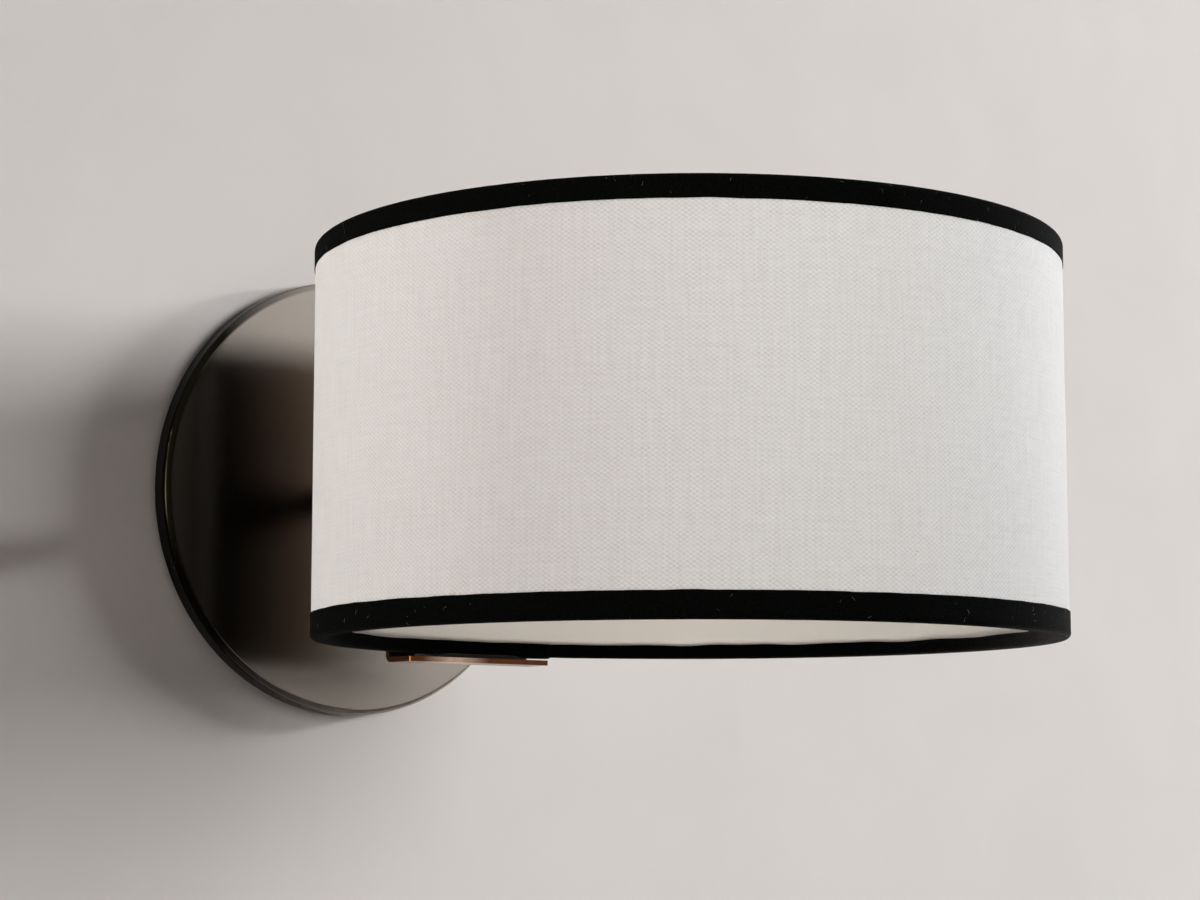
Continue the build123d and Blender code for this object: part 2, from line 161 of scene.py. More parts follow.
def put(tree, kind, inputs=None, **settings):
    """Adds a node. Its inputs, by name or number, are plain values or other nodes' outputs.
    A colour Mix node takes its share at 0 and its colours at 6 and 7, and gives them at 2."""
    node = tree.nodes.new(kind)
    for name, value in settings.items():
        setattr(node, name, value)
    for name, value in (inputs or {}).items():
        if isinstance(value, bpy.types.NodeSocket):
            tree.links.new(value, node.inputs[name])
        else:
            node.inputs[name].default_value = value
    return node


def new_mesh(name, points, faces, layer=None):
    """A smooth mesh object at the origin. Layer gives its cloth coordinates, a pair in metres
    for each corner of each face."""
    mesh = bpy.data.meshes.new(name)
    mesh.from_pydata([tuple(p) for p in points], [], faces)
    if layer is not None:
        cloth = mesh.uv_layers.new(name="cloth")
        flat = [value for face in layer for pair in face for value in pair]
        cloth.data.foreach_set("uv", flat)
    mesh.polygons.foreach_set("use_smooth", [True] * len(mesh.polygons))
    mesh.update()
    made = bpy.data.objects.new(name, mesh)
    bpy.context.scene.collection.objects.link(made)
    return made


def thicken(made, thickness):
    """Gives a sheet its thickness, inwards from its outer face, as a plain mesh."""
    wall = made.modifiers.new("thickness", "SOLIDIFY")
    wall.thickness = thickness * 0.001
    wall.offset = -1.0
    wall.use_even_offset = True
    wall.use_rim = True
    return as_plain(made)


def as_plain(made):
    """Turns a mesh with modifiers into a plain one and removes the modifiers."""
    graph = bpy.context.evaluated_depsgraph_get()
    graph.update()
    mesh = bpy.data.meshes.new_from_object(made.evaluated_get(graph), depsgraph=graph)
    made.modifiers.clear()
    made.data = mesh
    mesh.name = made.name
    return made


def wear(made, material):
    """Puts one material on a piece."""
    made.data.materials.clear()
    made.data.materials.append(material)
    return made


# ---- Cloth pieces of the shade ----


def make_cover():
    """The linen, one sheet round the liner, with a round hole for the bush's neck."""
    columns, rows = 288, 44
    ring = 4  # cells from the hole's middle to the side of the square round it
    step = 2 * math.pi / columns
    rise = 2 * LAYER_HALF_HEIGHT / rows
    middle_column = round((2 * math.pi - SEAM_ANGLE) / step)  # where the back lies
    start = -middle_column * step
    middle_row = rows // 2

    def radius_at(angle, height):
        swell = blur(3 * math.sin(angle), 3 * math.cos(angle), height / 30)
        return COVER_RADIUS - COVER_SWELL + COVER_SWELL * swell

    def flat(column, height):
        return (column * step * COVER_RADIUS * 0.001, height * 0.001)

    def spot(column, height):
        angle = start + column * step
        return on_shade(angle, radius_at(angle, height), height)

    points, index = [], {}

    def keep(key, column, height):
        if key not in index:
            index[key] = len(points)
            points.append(spot(column, height))
        return index[key]

    faces, layer = [], []

    def add(corners):
        """Corners are (key, column, height), with column unwrapped for the cloth's own map."""
        faces.append([keep(key, column, height) for key, column, height in corners])
        layer.append([flat(column, height) for _, column, height in corners])

    def node(column, row):
        return ((column % columns, row), column, -LAYER_HALF_HEIGHT + row * rise)

    for column in range(columns):
        for row in range(rows):
            in_patch = abs(column + 0.5 - middle_column) < ring and abs(row + 0.5 - middle_row) < ring
            if not in_patch:
                add([node(column, row), node(column + 1, row),
                     node(column + 1, row + 1), node(column, row + 1)])

    # Between the round hole and the square round it
    side = range(-ring, ring)
    border = [(i, -ring) for i in side] + [(ring, i) for i in side]
    border += [(-i, ring) for i in side] + [(-ring, -i) for i in side]
    arc = step * COVER_RADIUS
    steps = 3

    def between(number, level):
        """A point from the square's border, at level 0, to the hole's edge, at level steps."""
        i, j = border[number % len(border)]
        if level == 0:
            return node(middle_column + i, middle_row + j)
        turn = math.atan2(j * rise, i * arc)
        share = level / steps
        across = i * arc * (1 - share) + NECK_HOLE_RADIUS * math.cos(turn) * share
        up = j * rise * (1 - share) + NECK_HOLE_RADIUS * math.sin(turn) * share
        return (("hole", number % len(border), level), middle_column + across / arc, up)

    for number in range(len(border)):
        for level in range(steps):
            add([between(number, level), between(number + 1, level),
                 between(number + 1, level + 1), between(number, level + 1)])
    return thicken(new_mesh("linen_cover", points, faces, layer), COVER_THICKNESS)


def make_seam():
    """The cloth's folded end, glued down over the cover at the back."""
    columns, rows = 14, 60
    low = -HALF_HEIGHT + BOTTOM_TAPE_DROP - SEAM_TUCK
    high = HALF_HEIGHT - TOP_TAPE_DROP + SEAM_TUCK
    half = SEAM_WIDTH / 2
    inner = COVER_RADIUS + SEAM_GAP
    points, faces, layer = [], [], []
    for row in range(rows + 1):
        height = low + (high - low) * row / rows
        for column in range(columns + 1):
            share = 2 * column / columns - 1
            edge = half + SEAM_EDGE_WANDER * blur(share, height / 9, 0.0, 2)
            across = edge * math.copysign(abs(share) ** 0.7, share)
            fall = max(0.0, (abs(across) - half + SEAM_LIFT) / SEAM_LIFT)
            lift = SEAM_LIFT * math.sqrt(max(0.0, 1 - min(fall, 1.0) ** 2))
            lift += CLOTH_SWELL * blur(across / 2, height / 5, 0.0, 4)
            angle = SEAM_ANGLE + across / COVER_RADIUS
            points.append(on_shade(angle, inner + max(lift, SEAM_EDGE_LIFT), height))
    across_count = columns + 1

    def place(number):
        """Cloth coordinates, set aside a little so that the cover's weave doesn't run on."""
        row, column = divmod(number, across_count)
        across = column / columns * SEAM_WIDTH * 0.001 + 0.0003
        return (across, (low + (high - low) * row / rows) * 0.001)

    for row in range(rows):
        for column in range(columns):
            a = row * across_count + column
            corners = [a, a + 1, a + across_count + 1, a + across_count]
            faces.append(corners)
            layer.append([place(n) for n in corners])
    return thicken(new_mesh("linen_seam", points, faces, layer), SEAM_THICKNESS)


def tape_path(drop):
    """The tape's outer face from its lower outside edge over the rim to its inside edge,
    as (radius, height below the rim) pairs."""
    outer = COVER_RADIUS + LAYER_GAP + TAPE_THICKNESS
    path = []
    steps = 10
    for i in range(steps):
        path.append((outer, drop + (TAPE_CORNER - drop) * i / steps))
    for i in range(7):
        turn = math.pi / 2 * i / 6
        path.append((outer - TAPE_CORNER + TAPE_CORNER * math.cos(turn),
                     TAPE_CORNER - TAPE_CORNER * math.sin(turn)))
    inner = TAPE_INNER_RADIUS
    for i in range(1, 4):
        path.append((outer - TAPE_CORNER + (inner - outer + 2 * TAPE_CORNER) * i / 4, 0.0))
    for i in range(7):
        turn = math.pi / 2 * i / 6
        path.append((inner + TAPE_CORNER - TAPE_CORNER * math.sin(turn),
                     TAPE_CORNER - TAPE_CORNER * math.cos(turn)))
    for i in range(1, 7):
        path.append((inner, TAPE_CORNER + (TAPE_TURN_IN - TAPE_CORNER) * i / 6))
    return path


def make_tape(name, side, drop, seed):
    """One strip of folded tape round a rim, whose last stretch lies over its start."""
    path = tape_path(drop)
    overlap = TAPE_LAP / COVER_RADIUS
    columns = 420
    ramp = 0.04  # the angle over which the end climbs onto the start
    sweep = 2 * math.pi + overlap
    run = [0.0]  # the distance along the path to each of its points
    for (r0, h0), (r1, h1) in zip(path, path[1:]):
        run.append(run[-1] + math.hypot(r1 - r0, h1 - h0))
    count = len(path)
    points, faces, layer = [], [], []
    for column in range(columns + 1):
        angle = sweep * column / columns
        over = max(0.0, min(1.0, (angle - 2 * math.pi + ramp) / ramp))
        over = over * over * (3 - 2 * over) * (TAPE_THICKNESS + TAPE_LAP_SLACK)
        place = TAPE_LAP_ANGLE - overlap / 2 + angle
        along = angle * COVER_RADIUS
        for i, (radius, depth) in enumerate(path):
            share = run[i] / run[-1]
            outside = max(0.0, 1 - share / TAPE_OUTSIDE_SHARE)
            inside = max(0.0, 1 - (1 - share) / TAPE_TURNED_SHARE)
            depth += outside ** 4 * TAPE_EDGE_WAVE * blur(along / 7, 0.3, 0.0, seed)
            depth += outside ** 4 * TAPE_EDGE_NIBBLE * blur(along / 1.6, 0.9, 0.0, seed)
            depth += inside ** 3 * TAPE_TURNED_EDGE_WAVE * blur(along / 11, 2.0, 0.0, seed)
            lift = CLOTH_SWELL * blur(along / 3.1, depth / 1.5, 0.5, seed) - CLOTH_SWELL
            lift -= inside * TAPE_TURNED_PUCKER * (0.5 + 0.5 * blur(along / 3.6, 5.0, 0.0, seed))
            back, ahead = path[max(i - 1, 0)], path[min(i + 1, count - 1)]
            tangent = Vector((ahead[0] - back[0], ahead[1] - back[1])).normalized()
            outward = Vector((-tangent.y, tangent.x))
            radius += outward.x * (lift + over)
            depth += outward.y * (lift + over)
            points.append(on_shade(place, radius, side * (HALF_HEIGHT - depth)))
    for column in range(columns):
        for i in range(count - 1):
            a = column * count + i
            corners = [a, a + count, a + count + 1, a + 1]
            pairs = [(column, i), (column + 1, i), (column + 1, i + 1), (column, i + 1)]
            if side < 0:
                corners.reverse()
                pairs.reverse()
            faces.append(corners)
            layer.append([(sweep * c / columns * COVER_RADIUS * 0.001, run[k] * 0.001) for c, k in pairs])
    return thicken(new_mesh(name, points, faces, layer), TAPE_THICKNESS)


def make_pad(name, side):
    """A strip of felt on a foot of the bracket, with soft, slightly ragged edges."""
    across, deep, thick = 68, 22, 4
    points, faces = [], []
    index = {}

    def spot(i, j, k):
        if (i, j, k) not in index:
            x = PAD_WIDTH * (i / across - 0.5)
            y = -(PAD_BACK_OUT + (PAD_FRONT_OUT - PAD_BACK_OUT) * j / deep)
            z = PAD_LOW + (PAD_HIGH - PAD_LOW) * k / thick
            at_side = i in (0, across)
            at_end = j in (0, deep)
            middle = 1 - abs(2 * k / thick - 1)
            if at_side:
                rag = FELT_RAG * (1 + blur(y / 0.9, z, 0.0, 6))
                x -= math.copysign(FELT_ROUNDING * (1 - middle) + rag, x)
            if at_end:
                inwards = -1 if j == 0 else 1
                rag = FELT_RAG * (1 + blur(x / 0.9, z, 0.0, 7))
                y += inwards * (FELT_ROUNDING * (1 - middle) + rag)
            if k in (0, thick) and not (at_side or at_end):
                z += (FELT_PITS if k == 0 else -FELT_PITS) * (1 + blur(x / 0.8, y / 0.8, k, 8))
            index[(i, j, k)] = len(points)
            points.append(mm(x, y, side * z))
        return index[(i, j, k)]

    def add(*corners):
        faces.append([spot(*corner) for corner in corners])

    for i in range(across):
        for j in range(deep):
            for k in (0, thick):
                add((i, j, k), (i + 1, j, k), (i + 1, j + 1, k), (i, j + 1, k))
    for k in range(thick):
        for i in range(across):
            for j in (0, deep):
                add((i, j, k), (i + 1, j, k), (i + 1, j, k + 1), (i, j, k + 1))
        for j in range(deep):
            for i in (0, across):
                add((i, j, k), (i, j + 1, k), (i, j + 1, k + 1), (i, j, k + 1))
    return outwards(new_mesh(name, points, faces))


def outwards(made):
    """Merges doubles and turns every face outwards on a closed piece."""
    work = bmesh.new()
    work.from_mesh(made.data)
    bmesh.ops.remove_doubles(work, verts=work.verts, dist=1e-7)
    bmesh.ops.recalc_face_normals(work, faces=work.faces)
    work.to_mesh(made.data)
    work.free()
    return made


linen_cover = make_cover()
linen_seam = make_seam()
top_tape = make_tape("top_tape", 1, TOP_TAPE_DROP, 1)
bottom_tape = make_tape("bottom_tape", -1, BOTTOM_TAPE_DROP, 2)
top_pad = make_pad("top_pad", 1)
bottom_pad = make_pad("bottom_pad", -1)


# ---- Finishes ----


def start_finish(name, plain):
    """A new material with its shader's plain values set on the shader itself."""
    material = bpy.data.materials.new(name)
    material.use_nodes = True
    tree = material.node_tree
    tree.nodes.clear()
    shader = put(tree, "ShaderNodeBsdfPrincipled", plain)
    put(tree, "ShaderNodeOutputMaterial", {"Surface": shader.outputs["BSDF"]})
    return material, tree, shader


def simple_finish(name, base, spot, grain, roughness, rough_change=0.08, depth=0.01, **plain):
    """A solid finish whose colour drifts from base to spot and whose surface has a grain of
    the given size and depth, in millimetres."""
    values = {key.replace("_", " "): value for key, value in plain.items()}
    material, tree, shader = start_finish(name, values)
    place = put(tree, "ShaderNodeTexCoord").outputs["Object"]
    cloud = put(tree, "ShaderNodeTexNoise", {"Vector": place, "Scale": 1000 / 14, "Detail": 4.0})
    fine = put(tree, "ShaderNodeTexNoise", {"Vector": place, "Scale": 1000 / grain, "Detail": 3.0})
    blend = put(
        tree, "ShaderNodeMix", {0: cloud.outputs["Fac"], 6: colour(base), 7: colour(spot)},
        data_type="RGBA")
    tree.links.new(blend.outputs[2], shader.inputs["Base Color"])
    change = put(tree, "ShaderNodeMapRange", {
        "Value": fine.outputs["Fac"], "From Min": 0.3, "From Max": 0.7,
        "To Min": roughness - rough_change, "To Max": roughness + rough_change})
    tree.links.new(change.outputs["Result"], shader.inputs["Roughness"])
    bump = put(tree, "ShaderNodeBump", {
        "Height": fine.outputs["Fac"], "Distance": depth * 0.001, "Strength": 0.6})
    tree.links.new(bump.outputs["Normal"], shader.inputs["Normal"])
    return material


finishes = {}
# The slot, the finish, its two colours, its grain in millimetres, its roughness and the rest
for slot, name, base, spot, grain, roughness, rest in (
    # Bright zinc on rolled steel: pale, faintly blue, with a fine grain
    ("zinc_steel", "zinc_plated_steel", "#C9CCCF", "#B4B9BD", 0.6, 0.34, {"Metallic": 1.0}),
    # Green dyed zinc on the ground screw: deep green with a metal's glint
    ("green_screw", "green_passivated_steel", "#2E8B4A", "#1F6E3A", 0.5, 0.32, {"Metallic": 0.85}),
    # Black oxide on hardened steel: a soft, oily black
    ("black_steel", "black_oxide_steel", "#1E1E1F", "#141414", 0.3, 0.4, {"Metallic": 0.6}),
    # Extruded wire insulation: smooth, with a dull shine
    ("black_wire", "black_wire_insulation", "#151515", "#1D1C1B", 0.4, 0.42, {}),
    ("white_wire", "white_wire_insulation", "#E4E1DA", "#D8D4CB", 0.4, 0.42, {}),
    # Moulded nylon: even black, nearly matt
    ("black_nylon", "moulded_black_nylon", "#161616", "#1F1F1E", 0.25, 0.5, {}),
    # Rolled styrene: smooth, warm white, with light bleeding a little way in
    ("liner", "styrene_liner", "#F2ECE4", "#EFE7DE", 0.8, 0.55, {
        "rough_change": 0.05, "Subsurface_Weight": 1.0, "Subsurface_Radius": (1.0, 0.93, 0.85),
        "Subsurface_Scale": 0.0012}),
    # Powder coat on ring wire: off-white with a faint orange peel
    ("ring_wire", "white_powder_coat", "#DEDEDC", "#D2D2CF", 0.35, 0.5, {}),
    # Bronze plate rubbed nearly black: a brown sheen only where light strikes it
    ("dark_bronze", "dark_bronze_plate", "#2B221B", "#1A1511", 6.0, 0.34, {
        "rough_change": 0.05, "depth": 0.0, "Metallic": 1.0}),
    # Pressed fibre: dry tan card
    ("fibre_sleeve", "pressed_fibre", "#B8A07A", "#A38A64", 0.3, 0.75, {}),
    # Glazed porcelain: creamy and glossy
    ("porcelain", "glazed_porcelain", "#EFEBE0", "#E8E2D4", 1.2, 0.16, {"rough_change": 0.04}),
    # Drawn brass: yellow, with a soft gloss
    ("brass_shell", "drawn_brass", "#D9B566", "#C49D4F", 0.4, 0.28, {"Metallic": 1.0}),
    # Nickel plate: a warm grey, brighter than zinc
    ("nickel_cap", "nickel_plate", "#CFCCC6", "#C2BEB7", 0.4, 0.25, {"Metallic": 1.0}),
    # Vitreous glass: black and glossy, slightly rippled
    ("black_glass", "black_vitreous_glass", "#0B0B0D", "#141417", 1.5, 0.12, {"rough_change": 0.03}),
    # Moulded plastic: clean white with a dull shine
    ("white_plastic", "moulded_white_plastic", "#EDEDEA", "#E6E6E2", 0.35, 0.42, {}),
    # Opal globe, etched inside: milky, with a soft gloss outside
    ("frosted_globe", "opal_glass", "#F4F3EF", "#EFEEE9", 0.3, 0.3, {
        "rough_change": 0.03, "depth": 0.0, "Subsurface_Weight": 0.6,
        "Subsurface_Radius": (1.0, 0.97, 0.92), "Subsurface_Scale": 0.002}),
    # Solder mask: cool white, smooth
    ("white_board", "white_solder_mask", "#EDEFF0", "#E2E5E7", 0.5, 0.35, {}),
    # Resin over the chips: deep yellow, a little glossy
    ("chip_yellow", "phosphor_resin", "#F2C94C", "#E0B23A", 0.4, 0.3, {}),
):
    finishes[slot] = simple_finish(name, base, spot, grain, roughness, **rest)


def make_linen():
    """Natural linen in plain weave, bleached off-white. Upright threads pass over and under
    level ones, so that the eye sees a fine chequer of raised floats, with threads that swell
    and thin along their length and a few dark specks of bark."""
    material, tree, shader = start_finish("plain_weave_linen", {
        "Roughness": 0.85, "Specular IOR Level": 0.3, "Sheen Weight": 0.04,
        "Subsurface Weight": 0.6, "Subsurface Radius": (1.0, 0.96, 0.9), "Subsurface Scale": 0.0012})

    cloth = put(tree, "ShaderNodeUVMap", uv_map="cloth").outputs["UV"]
    # Threads wander a little from straight
    wander = put(tree, "ShaderNodeTexNoise", {"Vector": cloth, "Scale": 1000 / 6, "Detail": 2.0})
    moved = put(
        tree, "ShaderNodeVectorMath", {0: wander.outputs["Color"], "Scale": 0.0005}, operation="SCALE")
    place = put(tree, "ShaderNodeVectorMath", {0: cloth, 1: moved.outputs[0]}).outputs[0]
    split = put(tree, "ShaderNodeSeparateXYZ", {0: place})
    waves = []
    for axis, spacing in (("X", WARP_SPACING), ("Y", WEFT_SPACING)):
        turn = put(
            tree, "ShaderNodeMath", {0: split.outputs[axis], 1: math.pi * 1000 / spacing},
            operation="MULTIPLY")
        waves.append(put(tree, "ShaderNodeMath", {0: turn.outputs[0]}, operation="SINE").outputs[0])
    # 1 on a float of the warp, -1 on a float of the weft, 0 in the gaps
    over = put(tree, "ShaderNodeMath", {0: waves[0], 1: waves[1]}, operation="MULTIPLY").outputs[0]
    # Threads lie looser in some places, so the chequer fades in and out
    loose = put(tree, "ShaderNodeTexNoise", {"Vector": cloth, "Scale": 1000 / 2.5, "Detail": 3.0})
    tight = put(tree, "ShaderNodeMapRange", {
        "Value": loose.outputs["Fac"], "From Min": 0.35, "From Max": 0.65, "To Min": 0.35, "To Max": 1.35})
    over = put(tree, "ShaderNodeMath", {0: over, 1: tight.outputs[0]}, operation="MULTIPLY").outputs[0]
    # Slubs: long thin swellings along the threads of either way
    slubs = []
    for scale in ((1000 / 14, 1000 / WEFT_SPACING, 1), (1000 / WARP_SPACING, 1000 / 18, 1)):
        along = put(tree, "ShaderNodeMapping", {"Vector": cloth, "Scale": scale}).outputs[0]
        noisy = put(tree, "ShaderNodeTexNoise", {"Vector": along, "Scale": 1.0, "Detail": 2.0})
        slubs.append(noisy.outputs["Fac"])
    slub = put(tree, "ShaderNodeMath", {0: slubs[0], 1: slubs[1]}, operation="ADD").outputs[0]
    swelling = put(tree, "ShaderNodeMath", {0: slub, 1: 0.7}, operation="MULTIPLY").outputs[0]
    relief = put(tree, "ShaderNodeMath", {0: over, 1: 0.6, 2: swelling}, operation="MULTIPLY_ADD")
    bump = put(tree, "ShaderNodeBump", {"Height": relief.outputs[0], "Distance": 0.00016, "Strength": 0.8})
    tree.links.new(bump.outputs["Normal"], shader.inputs["Normal"])
    # Floats of the warp are the palest. A thread is paler where a slub swells it and greyer
    # where it thins.
    on_top = put(tree, "ShaderNodeMapRange", {"Value": over, "From Min": -0.8, "From Max": 0.8})
    thick = put(tree, "ShaderNodeMapRange", {"Value": slub, "From Min": 0.75, "From Max": 1.25})
    threads = []
    for thin_colour, thick_colour in (("#DAD7D2", "#E0DDD9"), ("#E8E6E4", "#EFEEEC")):
        threads.append(put(
            tree, "ShaderNodeMix", {0: thick.outputs[0], 6: colour(thin_colour), 7: colour(thick_colour)},
            data_type="RGBA").outputs[2])
    woven = put(
        tree, "ShaderNodeMix", {0: on_top.outputs[0], 6: threads[0], 7: threads[1]}, data_type="RGBA")
    speck = put(tree, "ShaderNodeTexVoronoi", {"Vector": cloth, "Scale": 1000 / 16, "Randomness": 1.0})
    dot = put(tree, "ShaderNodeMapRange", {
        "Value": speck.outputs["Distance"], "From Min": 0.012, "From Max": 0.022,
        "To Min": 0.5, "To Max": 0.0})
    specked = put(
        tree, "ShaderNodeMix", {0: dot.outputs[0], 6: woven.outputs[2], 7: colour("#8A8178")},
        data_type="RGBA")
    tree.links.new(specked.outputs[2], shader.inputs["Base Color"])
    return material


def make_tape_cloth():
    """Black cotton tape cut on the bias, so that its plain weave lies at 45 degrees. A painted
    sheen grows towards the right, where the tape reads dark grey."""
    material, tree, shader = start_finish(
        "black_bias_tape", {"Roughness": 0.9, "Specular IOR Level": 0.03, "Sheen Roughness": 0.35})
    # Painted sheen: the sheen's weight grows towards the right
    place = put(tree, "ShaderNodeTexCoord").outputs["Object"]
    sides = put(tree, "ShaderNodeSeparateXYZ", {0: place})
    sheen_rightwards = put(tree, "ShaderNodeMapRange", {
        "Value": sides.outputs["X"], "From Min": TAPE_SHEEN_RIGHTWARDS[0] * 0.001, "From Max": TAPE_SHEEN_RIGHTWARDS[1] * 0.001,
        "To Max": 0.18})
    tree.links.new(sheen_rightwards.outputs[0], shader.inputs["Sheen Weight"])
    cloth = put(tree, "ShaderNodeUVMap", uv_map="cloth").outputs["UV"]
    turned = put(tree, "ShaderNodeMapping", {"Vector": cloth, "Rotation": (0, 0, math.radians(45))})
    threads = put(tree, "ShaderNodeSeparateXYZ", {0: turned.outputs[0]})
    tops = []
    for axis in ("X", "Y"):
        wave = put(
            tree, "ShaderNodeMath", {0: threads.outputs[axis], 1: math.pi * 1000 / TAPE_THREAD},
            operation="MULTIPLY")
        tops.append(put(tree, "ShaderNodeMath", {0: wave.outputs[0]}, operation="SINE").outputs[0])
    over = put(tree, "ShaderNodeMath", {0: tops[0], 1: tops[1]}, operation="MULTIPLY")
    rough = put(tree, "ShaderNodeTexNoise", {"Vector": cloth, "Scale": 1000 / 0.7, "Detail": 4.0})
    relief = put(
        tree, "ShaderNodeMath", {0: over.outputs[0], 1: 0.5, 2: rough.outputs["Fac"]},
        operation="MULTIPLY_ADD")
    bump = put(tree, "ShaderNodeBump", {"Height": relief.outputs[0], "Distance": 0.00012, "Strength": 0.8})
    tree.links.new(bump.outputs["Normal"], shader.inputs["Normal"])
    dye = put(tree, "ShaderNodeTexNoise", {
        "Vector": cloth, "Scale": 1000 / 0.8, "Detail": 3.0, "Roughness": 0.7})
    toned = put(tree, "ShaderNodeMapRange", {"Value": dye.outputs["Fac"], "From Min": 0.4, "From Max": 0.75})
    shade = put(
        tree, "ShaderNodeMix", {0: toned.outputs[0], 6: colour("#020302"), 7: colour("#0B0D0B")},
        data_type="RGBA")
    tree.links.new(shade.outputs[2], shader.inputs["Base Color"])
    return material


def make_felt():
    """Pressed black wool felt: tangled short fibres, which look soft and matt."""
    material, tree, shader = start_finish("black_wool_felt", {"Roughness": 0.95, "Sheen Weight": 0.2})
    place = put(tree, "ShaderNodeTexCoord").outputs["Object"]
    fibre = put(tree, "ShaderNodeTexNoise", {
        "Vector": place, "Scale": 1000 / 0.5, "Detail": 6.0, "Distortion": 1.5})
    bump = put(tree, "ShaderNodeBump", {
        "Height": fibre.outputs["Fac"], "Distance": 0.0002, "Strength": 0.9})
    tree.links.new(bump.outputs["Normal"], shader.inputs["Normal"])
    shade = put(
        tree, "ShaderNodeMix", {0: fibre.outputs["Fac"], 6: colour("#070707"), 7: colour("#161615")},
        data_type="RGBA")
    tree.links.new(shade.outputs[2], shader.inputs["Base Color"])
    return material


def make_pewter():
    """Spun steel plated in pewter. The face is satin and reflects softly. A painted dark
    reflection darkens it towards its left edge and a little towards its lower left, and painted
    dark olive shade covers the side wall, less on its right, and on the left the rounded edge too."""
    material, tree, shader = start_finish("satin_pewter_plate", {"Metallic": 1.0})
    place = put(tree, "ShaderNodeTexCoord").outputs["Object"]
    cloud = put(tree, "ShaderNodeTexNoise", {"Vector": place, "Scale": 1000 / 20, "Detail": 3.0})
    face = put(
        tree, "ShaderNodeMix", {0: cloud.outputs["Fac"], 6: colour("#BDB6AE"), 7: colour("#B3ACA4")},
        data_type="RGBA")
    flat = put(tree, "ShaderNodeVectorMath", {0: place, 1: (1, 0, 1)}, operation="MULTIPLY")
    radius = put(tree, "ShaderNodeVectorMath", {0: flat.outputs[0]}, operation="LENGTH")
    split = put(tree, "ShaderNodeSeparateXYZ", {0: place})
    # Painted dark reflection, growing towards the left edge and towards the lower left
    left = put(tree, "ShaderNodeMapRange", {
        "Value": split.outputs["X"], "From Min": PAINTED_DARK_LEFT[0] * 0.001,
        "From Max": PAINTED_DARK_LEFT[1] * 0.001, "To Max": 0.8}, interpolation_type="SMOOTHSTEP")
    slant = put(tree, "ShaderNodeVectorMath", {0: place, 1: (-0.8, 0, -0.6)}, operation="DOT_PRODUCT")
    low = put(tree, "ShaderNodeMapRange", {
        "Value": slant.outputs["Value"], "From Min": PAINTED_DARK_LOW[0] * 0.001,
        "From Max": PAINTED_DARK_LOW[1] * 0.001, "To Max": 0.5})
    # The lower painted darkening takes its share of what the left one leaves untouched
    spared = put(tree, "ShaderNodeMath", {0: 1.0, 1: left.outputs[0]}, operation="SUBTRACT").outputs[0]
    spared = put(tree, "ShaderNodeMath", {0: low.outputs[0], 1: spared}, operation="MULTIPLY").outputs[0]
    painted_dark_share = put(tree, "ShaderNodeMath", {0: left.outputs[0], 1: spared}, operation="ADD").outputs[0]
    toned = put(
        tree, "ShaderNodeMix", {0: painted_dark_share, 6: face.outputs[2], 7: colour("#1B1811")}, data_type="RGBA")
    # Painted dark olive shade covers the side wall, and on the left the rounded edge too. It
    # mostly fades off the right of the side wall.
    rim, side = [put(tree, "ShaderNodeMapRange", {
        "Value": radius.outputs["Value"], "From Min": start * 0.001, "From Max": end * 0.001}).outputs[0]
        for start, end in (PAINTED_DARK_ROUND, PAINTED_DARK_SIDE)]
    leftwards = put(tree, "ShaderNodeMapRange", {
        "Value": split.outputs["X"], "From Min": PAINTED_DARK_ROUND_LEFT[0] * 0.001,
        "From Max": PAINTED_DARK_ROUND_LEFT[1] * 0.001})
    rim = put(tree, "ShaderNodeMath", {0: rim, 1: leftwards.outputs[0]}, operation="MULTIPLY").outputs[0]
    # The painted shade on the side wall fades towards the right
    rubbed = put(tree, "ShaderNodeMapRange", {
        "Value": split.outputs["X"], "From Min": PAINTED_DARK_SIDE_FADE[0] * 0.001,
        "From Max": PAINTED_DARK_SIDE_FADE[1] * 0.001, "To Min": 1.0, "To Max": 0.2})
    side = put(tree, "ShaderNodeMath", {0: side, 1: rubbed.outputs[0]}, operation="MULTIPLY").outputs[0]
    painted_dark_edge = put(tree, "ShaderNodeMath", {0: rim, 1: side}, operation="MAXIMUM").outputs[0]
    both = put(
        tree, "ShaderNodeMix", {0: painted_dark_edge, 6: toned.outputs[2], 7: colour("#15130D")}, data_type="RGBA")
    tree.links.new(both.outputs[2], shader.inputs["Base Color"])
    satin = put(tree, "ShaderNodeMapRange", {"Value": cloud.outputs["Fac"], "To Min": 0.11, "To Max": 0.15})
    tree.links.new(satin.outputs[0], shader.inputs["Roughness"])
    # Bead blasting: each spot, far finer than the eye sees, tilts its own way by a few degrees
    pit = put(tree, "ShaderNodeTexWhiteNoise", {"Vector": place}).outputs["Color"]
    pit = put(tree, "ShaderNodeVectorMath", {0: pit, 1: (0.5, 0.5, 0.5)}, operation="SUBTRACT").outputs[0]
    pit = put(tree, "ShaderNodeVectorMath", {0: pit, "Scale": 2 * BLAST_TILT}, operation="SCALE").outputs[0]
    upright = put(tree, "ShaderNodeNewGeometry").outputs["Normal"]
    tilted = put(tree, "ShaderNodeVectorMath", {0: upright, 1: pit}).outputs[0]
    tilted = put(tree, "ShaderNodeVectorMath", {0: tilted}, operation="NORMALIZE").outputs[0]
    tree.links.new(tilted, shader.inputs["Normal"])
    return material


